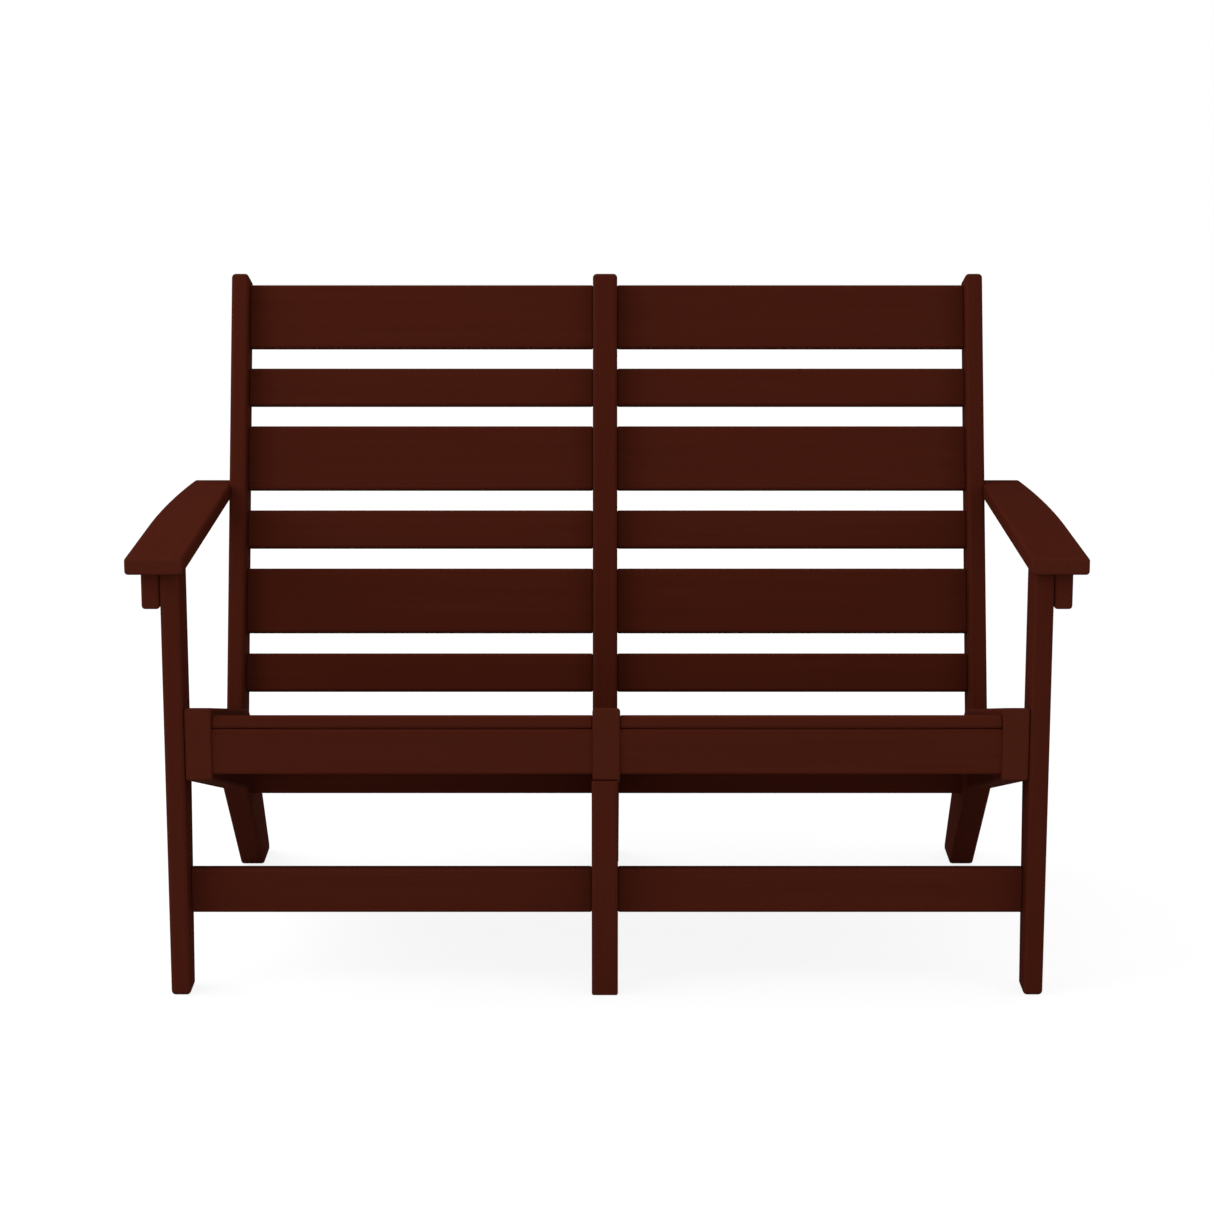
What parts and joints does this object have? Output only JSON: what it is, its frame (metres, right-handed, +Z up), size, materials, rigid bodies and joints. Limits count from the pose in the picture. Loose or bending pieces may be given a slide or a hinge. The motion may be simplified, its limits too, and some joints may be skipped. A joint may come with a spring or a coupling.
{
  "type": "loveseat",
  "caption": "Garden loveseat of moulded plastic boards, with a reclined ladder back, a sloping slatted seat and flat arms that narrow to the back.",
  "frame": {"origin": "middle of the bounding box, on the floor under the seat", "axes": "+X to the right for someone in front of the seat, +Y from the front of the seat to its back, +Z up"},
  "size_m": [1.3102, 0.7402, 0.9397],
  "materials": {
    "board": "through-coloured mahogany plastic lumber with a fine brushed grain, satin",
    "steel": "plain stainless steel"
  },
  "bodies": {
    "root": {"arm_bracket_left": "board", "arm_bracket_right": "board", "arm_left": "board", "arm_pin_left": "steel", "arm_pin_right": "steel", "arm_right": "board", "back_slat_left_1": "board", "back_slat_left_2": "board", "back_slat_left_3": "board", "back_slat_left_4": "board", "back_slat_left_5": "board", "back_slat_left_6": "board", "back_slat_right_1": "board", "back_slat_right_2": "board", "back_slat_right_3": "board", "back_slat_right_4": "board", "back_slat_right_5": "board", "back_slat_right_6": "board", "back_upright_centre": "board", "back_upright_left": "board", "back_upright_right": "board", "centre_leg_pin_1": "steel", "centre_leg_pin_2": "steel", "front_apron_left": "board", "front_apron_right": "board", "front_leg_centre": "board", "front_leg_left": "board", "front_leg_right": "board", "front_stretcher_left": "board", "front_stretcher_right": "board", "leg_bolt_left_lower": "steel", "leg_bolt_left_upper": "steel", "leg_bolt_nut_left_lower": "steel", "leg_bolt_nut_left_upper": "steel", "leg_bolt_nut_right_lower": "steel", "leg_bolt_nut_right_upper": "steel", "leg_bolt_right_lower": "steel", "leg_bolt_right_upper": "steel", "rail_and_rear_leg_centre": "board", "rail_and_rear_leg_left": "board", "rail_and_rear_leg_right": "board", "rear_cross_member_left": "board", "rear_cross_member_right": "board", "seat_cleat_left_bay_left": "board", "seat_cleat_left_bay_right": "board", "seat_cleat_right_bay_left": "board", "seat_cleat_right_bay_right": "board", "seat_slat_left_1": "board", "seat_slat_left_2": "board", "seat_slat_left_3": "board", "seat_slat_left_4": "board", "seat_slat_right_1": "board", "seat_slat_right_2": "board", "seat_slat_right_3": "board", "seat_slat_right_4": "board", "upright_bolt_centre": "steel", "upright_bolt_left": "steel", "upright_bolt_right": "steel"}
  },
  "joints": []
}
